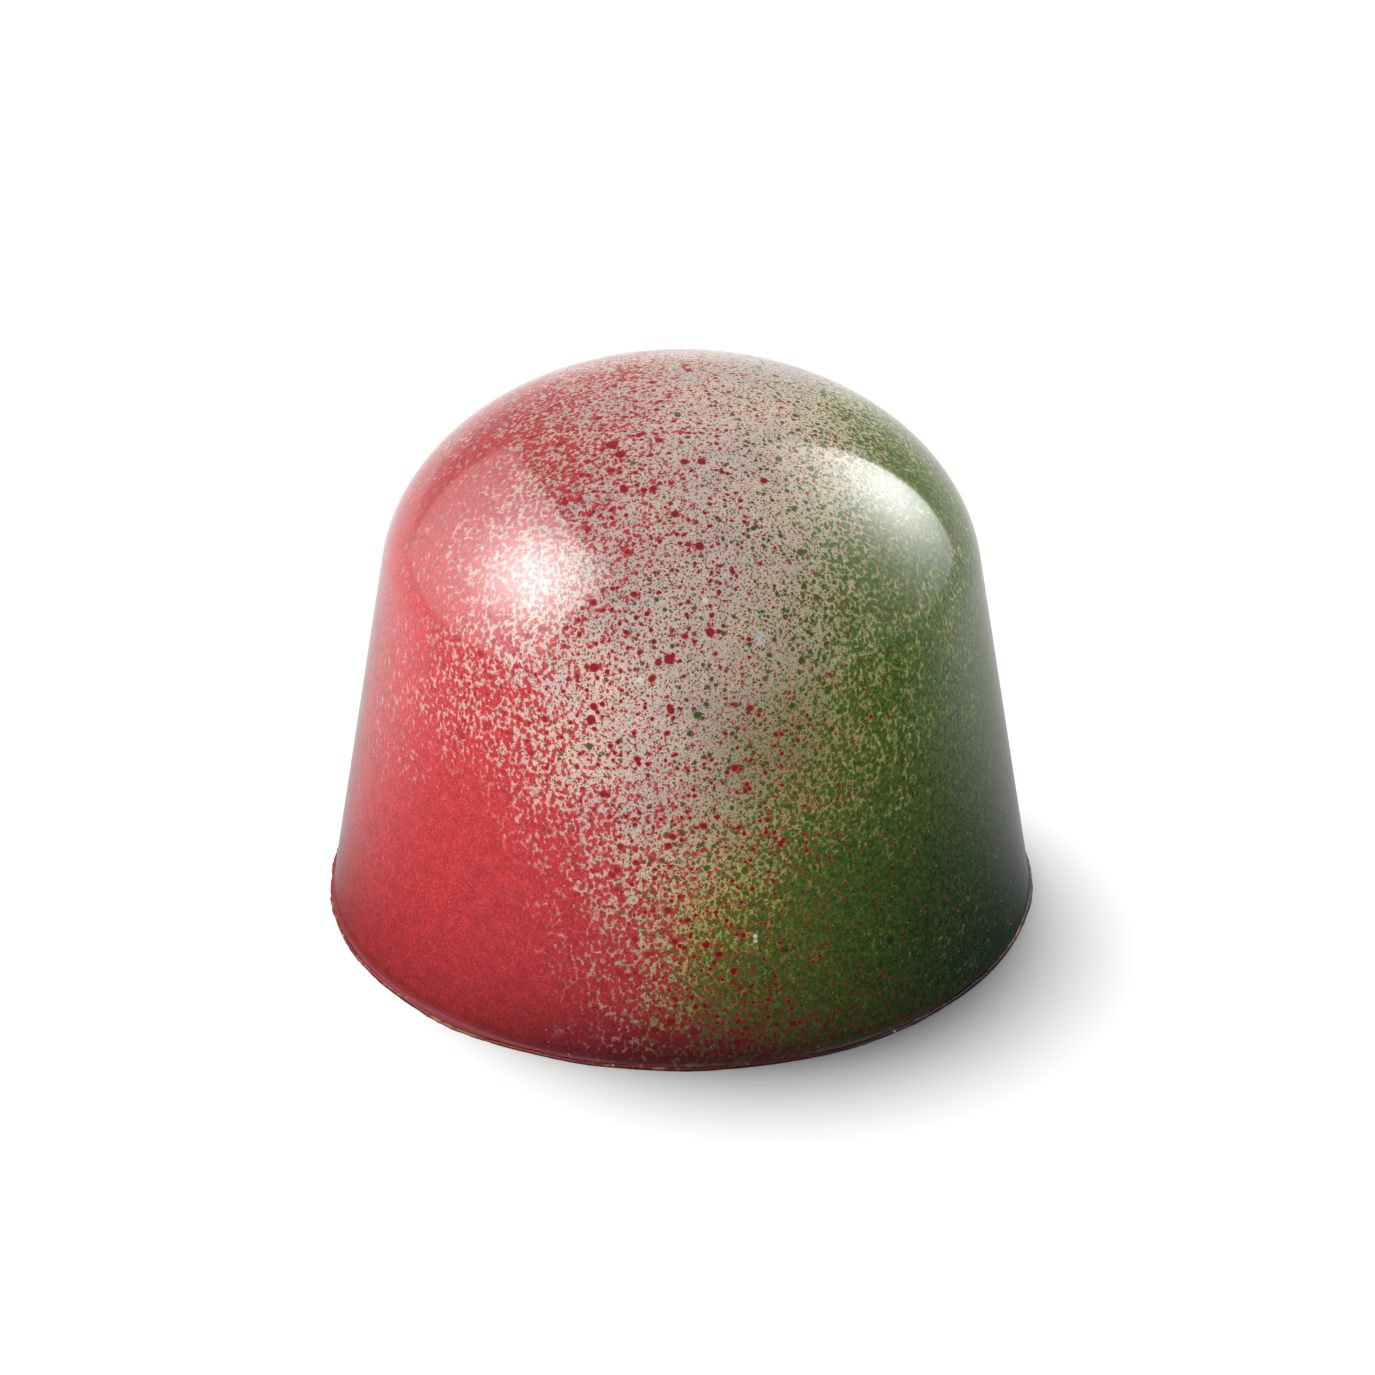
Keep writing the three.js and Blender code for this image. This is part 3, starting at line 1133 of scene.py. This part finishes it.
@dataclass
class FootFilm:
    """The ragged film of cocoa butter and chocolate that the scraper left round the foot.

    The lengths are those of its swells, its ragged edge and its tears along the foot, in millimetres.
    """

    bonbon: Bonbon
    around: int = 900
    reach: float = 0.035
    lowest: float = 0.06
    highest: float = 0.26
    swell_length: float = 5.0
    rag_length: float = 0.45
    tear_length: float = 0.16
    lift: float = 0.004
    foot_sunk: float = 0.12
    wall_sunk: float = 0.08
    seed: float = 7.0

    def unevenness(self, angle: float, length: float, seed: float) -> float:
        """Gives a share that changes smoothly along the foot.

        Args:
            angle: Degrees from +X.
            length: The millimetres over which it changes.
            seed: Sets one pattern apart from another.

        Returns:
            A share from 0 to 1.
        """
        turn = math.radians(angle)
        radius = self.bonbon.base_radius / length
        value = noise.noise(Vector((math.cos(turn) * radius, math.sin(turn) * radius, seed)))
        return min(1.0, max(0.0, 0.5 + value))

    def section(self, angle: float, proud: float) -> list[tuple[float, float]]:
        """Draws the film's section at one place.

        Args:
            angle: Degrees from +X.
            proud: How far the foot stands out of the wall there.

        Returns:
            The corners as radius and height, from inside the foot out, up and back into the wall.
        """
        broad = self.unevenness(angle, self.swell_length, self.seed)
        rag = self.unevenness(angle, self.rag_length, self.seed + 3)
        torn = self.unevenness(angle, self.tear_length, self.seed + 9)
        height = self.lowest + (self.highest - self.lowest) * broad * (0.45 + 0.55 * rag)
        height *= 0.8 + 0.4 * torn
        edge = self.reach * (0.5 + 0.5 * rag + 0.4 * torn)
        leftward = -math.cos(math.radians(angle))
        edge *= 1 + smoothstep((leftward - 0.2) / 0.6)
        wall = self.bonbon.base_radius - self.bonbon.taper * height
        foot = self.bonbon.base_radius + proud
        return [
            (foot - self.foot_sunk, self.lift),
            (foot + 0.4 * edge, self.lift),
            (foot + edge, 0.35 * height),
            (0.5 * (foot + wall) + 0.8 * edge, 0.75 * height),
            (wall + 0.3 * edge, height),
            (wall - self.wall_sunk, 0.9 * height),
        ]

    def build(self) -> Piece:
        """Builds and dresses the film.

        Returns:
            The film, a thin closed ring that hugs the foot.
        """
        angles = np.arange(self.around) * 360 / self.around
        proud = self.bonbon.foot_proud(angles)
        places = np.array([self.section(angle, out) for angle, out in zip(angles, proud)])
        turn = np.radians(angles)
        rows = [
            np.stack([radius * np.cos(turn), radius * np.sin(turn), height], -1)
            for radius, height in zip(places[:, :, 0].T, places[:, :, 1].T)
        ]
        vertices = np.concatenate(rows)
        faces: list[tuple[int, ...]] = []
        for k in range(len(rows)):
            low, high = k * self.around, (k + 1) % len(rows) * self.around
            for i in range(self.around):
                after = (i + 1) % self.around
                faces.append((low + i, low + after, high + after, high + i))
        film = mesh_object("foot_film", vertices, faces, ScrapedFilm().material())
        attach(film, BODY)
        return film


def bearing(degrees: float, elevation: float) -> Vector:
    """Points away from the bonbon.

    Args:
        degrees: 0 towards the camera's side, 90 towards +X.
        elevation: Degrees above the floor.

    Returns:
        A unit vector.
    """
    turn, rise = math.radians(degrees), math.radians(elevation)
    return Vector((math.sin(turn) * math.cos(rise), -math.cos(turn) * math.cos(rise), math.sin(rise)))


@dataclass(frozen=True)
class Softbox:
    """A lamp behind a sheet of diffuser, which is brightest where the lamp stands.

    The sheet faces the bonbon from the bearing at and elevation, and left, right, bottom and top
    are how far it reaches from there. core_at and core_elevation are the lamp's own direction.
    The levels are what the coat mirrors, and lights is the share of that which falls on matt parts.
    """

    name: str
    at: float
    elevation: float
    roll: float
    left: float
    right: float
    bottom: float
    top: float
    sheet: float
    glow: float
    glow_spread: float
    core: float
    core_spread: float
    core_at: float
    core_elevation: float
    lights: float
    distance: float = 250.0
    eye_height: float = 12.0

    def build(self) -> Piece:
        """Builds the sheet, which the camera doesn't see.

        Returns:
            The sheet, staged.
        """
        away = bearing(self.at, self.elevation)
        upright = (Vector((0, 0, 1)) - away * away.z).normalized()
        turn = Matrix((upright.cross(-away), upright, -away)).transposed()
        turn = turn @ Matrix.Rotation(math.radians(self.roll), 3, "Z")
        lamp = bearing(self.core_at, self.core_elevation)
        core = turn.transposed() @ (lamp * (self.distance / lamp.dot(away)))
        corners = np.array(
            [
                [self.left, self.bottom, 0.0],
                [self.right, self.bottom, 0.0],
                [self.right, self.top, 0.0],
                [self.left, self.top, 0.0],
            ]
        )
        panel = mesh_object(self.name, corners, [(0, 1, 2, 3)], self.diffuser(core.x, core.y))
        middle = (away * self.distance + Vector((0, 0, self.eye_height))) * MM
        panel.matrix_world = Matrix.Translation(middle) @ turn.to_4x4()
        panel.visible_camera = False
        panel.visible_shadow = False
        return panel

    def diffuser(self, core_right: float, core_up: float) -> Material:
        """Makes the glowing sheet.

        Args:
            core_right: Where the lamp stands behind it, in millimetres along its lower edge.
            core_up: The same, across that edge.

        Returns:
            The material.
        """
        material, tree = fresh_material(self.name)
        metres = add_node(tree, "TexCoord")["Object"]
        middle = (core_right * MM, core_up * MM, 0.0)
        away = add_node(tree, "VectorMath", {0: metres, 1: middle}, operation="DISTANCE")["Value"]
        strength: Socket | float = self.sheet
        for level, spread in ((self.glow, self.glow_spread), (self.core, self.core_spread)):
            share = add_node(tree, "Math", {0: away, 1: 1 / (spread * MM)}, operation="MULTIPLY")[0]
            square = add_node(tree, "Math", {0: share, 1: 2.0}, operation="POWER")[0]
            fall = add_node(tree, "Math", {0: square, 1: -0.5}, operation="MULTIPLY")[0]
            bell = add_node(tree, "Math", {0: fall}, operation="EXPONENT")[0]
            strength = add_node(tree, "Math", {0: bell, 1: level, 2: strength}, operation="MULTIPLY_ADD")[0]
        mirrored = add_node(tree, "LightPath")["Is Glossy Ray"]
        share = add_node(tree, "MapRange", {"Value": mirrored, "To Min": self.lights})[0]
        seen = add_node(tree, "Math", {0: strength, 1: share}, operation="MULTIPLY")[0]
        shine = add_node(tree, "Emission", {"Strength": seen})
        add_node(tree, "OutputMaterial", {"Surface": shine[0]})
        return material


@dataclass(frozen=True)
class Studio:
    """The floor, the table that the bonbon mirrors, the lamps and the camera.

    The table and the room send one light to what mirrors them and another to what is matt. Their
    widths and depths are the direction's shares along X and Y, between which a level changes. The
    shades and the reach are distances in millimetres.
    """

    floor_size: float = 3000.0
    floor_colour: str = "7C7C7C"
    target: tuple[float, float, float] = (0.238, 0.0, 8.938)
    camera_elevation: float = 29.83
    camera_distance: float = 280.2
    lens: float = 185.4
    sensor: float = 36.0
    wash_at: float = -142.0
    wash_elevation: float = 70.2
    wash_angle: float = 31.0
    wash_strength: float = 17.4
    table_height: float = -0.02
    table_left: float = 1.15
    table_right: float = 0.85
    table_front: float = 0.16
    table_width: tuple[float, float] = (-0.9, 0.7)
    table_depth: tuple[float, float] = (-0.35, 0.4)
    mirrored_shade: tuple[float, float] = (-10.0, 43.0)
    table_cast_front: float = 3.0
    table_cast_back: float = 0.25
    cast_towards: tuple[float, float, float] = (-0.77, -0.64, 0.0)
    cast_reach: tuple[float, float] = (-30.0, 50.0)
    cast_shade: tuple[float, float] = (10.0, 38.0)
    room_front: float = 0.5
    room_back: float = 0.62
    room_depth: tuple[float, float] = (-0.4, 0.95)
    horizon_height: float = 0.2
    horizon_gain: float = 1.6
    room_cast_front: float = 0.23
    room_cast_back: float = 0.5
    cast_depth: tuple[float, float] = (-0.6, 0.6)
    overhead: tuple[float, float] = (0.85, 2.05)

    def sheet(self, name: str, material: Material, height: float) -> Piece:
        """Lays a square sheet on the ground.

        Args:
            name: The object's name.
            material: Its finish.
            height: Millimetres above the bonbon's foot.

        Returns:
            The sheet, staged.
        """
        half = self.floor_size / 2
        corners = np.array(
            [[-half, -half, height], [half, -half, height], [half, half, height], [-half, half, height]]
        )
        sheet = mesh_object(name, corners, [(0, 1, 2, 3)], material)
        return sheet

    def ease(
        self, tree: Tree, value: Socket, across: tuple[float, float], to: tuple[float, float]
    ) -> Socket:
        """Eases a light from one level to another.

        Args:
            tree: The node tree.
            value: What the light follows.
            across: The values between which it changes.
            to: The levels at those values.

        Returns:
            The level.
        """
        ends = {"From Min": across[0], "From Max": across[1], "To Min": to[0], "To Max": to[1]}
        return add_node(tree, "MapRange", {"Value": value, **ends}, interpolation_type="SMOOTHSTEP")[0]

    def build_floor(self) -> Piece:
        """Lays the white floor that the camera sees.

        Returns:
            The floor.
        """
        white, tree = fresh_material("studio_floor")
        shader = add_node(tree, "BsdfDiffuse", {"Color": linear(self.floor_colour)})
        add_node(tree, "OutputMaterial", {"Surface": shader[0]})
        floor = self.sheet("floor", white, 0.0)
        floor.visible_diffuse = False
        floor.visible_glossy = False
        return floor

    def build_table(self) -> None:
        """Lays the table that lights and mirrors in the bonbon, palest behind it on the left."""
        card, tree = fresh_material("bounce_card")
        metres = add_node(tree, "TexCoord")["Object"]
        away = add_node(tree, "VectorMath", {0: metres}, operation="LENGTH")["Value"]
        turned = add_node(tree, "VectorMath", {0: metres}, operation="NORMALIZE")[0]
        parts = add_node(tree, "SeparateXYZ", {0: turned})
        behind = self.ease(tree, parts[1], self.table_depth, (self.table_front, 1.0))
        left, right = self.table_width
        ends = {"From Min": left, "From Max": right, "To Min": self.table_left, "To Max": self.table_right}
        level = add_node(tree, "MapRange", {"Value": parts[0], **ends})[0]
        around = add_node(tree, "Math", {0: level, 1: behind}, operation="MULTIPLY")[0]
        near, far = (limit * MM for limit in self.mirrored_shade)
        shaded = add_node(tree, "MapRange", {"Value": away, "From Min": near, "From Max": far})[0]
        seen = add_node(tree, "Math", {0: around, 1: shaded}, operation="MULTIPLY")[0]
        towards = add_node(
            tree, "VectorMath", {0: metres, 1: self.cast_towards}, operation="DOT_PRODUCT"
        )["Value"]
        reach = (self.cast_reach[0] * MM, self.cast_reach[1] * MM)
        lit = self.ease(tree, towards, reach, (self.table_cast_back, self.table_cast_front))
        shade = (self.cast_shade[0] * MM, self.cast_shade[1] * MM)
        open_to_light = self.ease(tree, away, shade, (0.0, 1.0))
        cast = add_node(tree, "Math", {0: lit, 1: open_to_light}, operation="MULTIPLY")[0]
        mirrored = {"Factor": add_node(tree, "LightPath")["Is Glossy Ray"], "A": cast, "B": seen}
        strength = add_node(tree, "Mix", mirrored, data_type="FLOAT")[0]
        shine = add_node(tree, "Emission", {"Strength": strength})
        add_node(tree, "OutputMaterial", {"Surface": shine[0]})
        self.sheet("table", card, self.table_height).visible_camera = False

    def build_world(self) -> None:
        """Fills the room with soft light, brighter behind the bonbon and towards the horizon."""
        world = bpy.data.worlds.new("studio_room")
        bpy.context.scene.world = world
        world.use_nodes = True
        tree = world.node_tree
        tree.nodes.clear()
        direction = add_node(tree, "TexCoord")["Generated"]
        parts = add_node(tree, "SeparateXYZ", {0: direction})
        level = self.ease(tree, parts[1], self.room_depth, (self.room_front, self.room_back))
        low = self.ease(tree, parts[2], (0.0, self.horizon_height), (self.horizon_gain, 1.0))
        seen = add_node(tree, "Math", {0: level, 1: low}, operation="MULTIPLY")[0]
        cast = self.ease(tree, parts[1], self.cast_depth, (self.room_cast_front, self.room_cast_back))
        across, above = self.overhead
        overhead = add_node(tree, "MapRange", {"Value": parts[2], "To Min": across, "To Max": above})[0]
        cast = add_node(tree, "Math", {0: cast, 1: overhead}, operation="MULTIPLY")[0]
        path = add_node(tree, "LightPath")
        mirrored = {"Factor": path["Is Glossy Ray"], "A": cast, "B": seen}
        strength = add_node(tree, "Mix", mirrored, data_type="FLOAT")[0]
        looked_at = {"Factor": path["Is Camera Ray"], "A": strength, "B": 1.0}
        shown = add_node(tree, "Mix", looked_at, data_type="FLOAT")[0]
        background = add_node(tree, "Background", {"Strength": shown})
        add_node(tree, "OutputWorld", {"Surface": background[0]})

    def build_lamps(self, floor: Piece) -> None:
        """Hangs two softboxes for the bonbon and one soft lamp for the floor alone.

        Args:
            floor: The floor, which the softboxes leave out.
        """
        softboxes = (
            Softbox(
                name="left_softbox", at=-92.0, elevation=30.0, roll=-20.0, left=-180.0, right=270.0,
                bottom=-190.0, top=155.0, sheet=1.2, glow=4.0, glow_spread=150.0, core=13.5,
                core_spread=56.0, core_at=-78.0, core_elevation=43.0, lights=0.28,
            ),
            Softbox(
                name="right_softbox", at=118.0, elevation=20.0, roll=20.0, left=-88.0, right=210.0,
                bottom=-150.0, top=210.0, sheet=0.7, glow=4.5, glow_spread=90.0, core=7.4,
                core_spread=46.0, core_at=132.0, core_elevation=28.0, lights=0.7,
            ),
        )
        only_floor = bpy.data.collections.new("floor_light")
        only_floor.objects.link(floor)
        not_floor = bpy.data.collections.new("bonbon_light")
        not_floor.objects.link(floor)
        not_floor.collection_objects[0].light_linking.link_state = "EXCLUDE"
        for softbox in softboxes:
            softbox.build().light_linking.receiver_collection = not_floor
        wash = bpy.data.lights.new("floor_wash", "SUN")
        wash.energy = self.wash_strength
        wash.angle = math.radians(self.wash_angle)
        holder = bpy.data.objects.new("floor_wash", wash)
        bpy.context.scene.collection.objects.link(holder)
        away = bearing(self.wash_at, self.wash_elevation)
        holder.rotation_euler = away.to_track_quat("Z", "Y").to_euler()
        holder.light_linking.receiver_collection = only_floor

    def build_camera(self) -> None:
        """Sets the camera at the height, distance and lens that the bonbon's outline asks for."""
        camera = bpy.data.cameras.new("camera")
        camera.lens = self.lens
        camera.sensor_width = self.sensor
        camera.clip_start = 0.01
        camera.clip_end = 10.0
        holder = bpy.data.objects.new("camera", camera)
        bpy.context.scene.collection.objects.link(holder)
        aim = Vector(self.target) * MM
        away = bearing(0.0, self.camera_elevation)
        holder.location = aim + away * self.camera_distance * MM
        holder.rotation_euler = away.to_track_quat("Z", "Y").to_euler()
        bpy.context.scene.camera = holder

    def build(self) -> None:
        """Builds everything round the bonbon."""
        self.build_camera()
        floor = self.build_floor()
        self.build_table()
        self.build_world()
        self.build_lamps(floor)
        bpy.context.scene.view_settings.view_transform = "Standard"


def main() -> None:
    """Builds the studio and the bonbon, and reports each piece."""
    logging.basicConfig(level=logging.INFO, format="%(message)s")
    Studio().build()
    bonbon = Bonbon()
    for piece in (bonbon.build(), FootFilm(bonbon).build()):
        log.info("%s: %d faces", piece.name, len(piece.data.polygons))


if __name__ == "__main__":
    main()
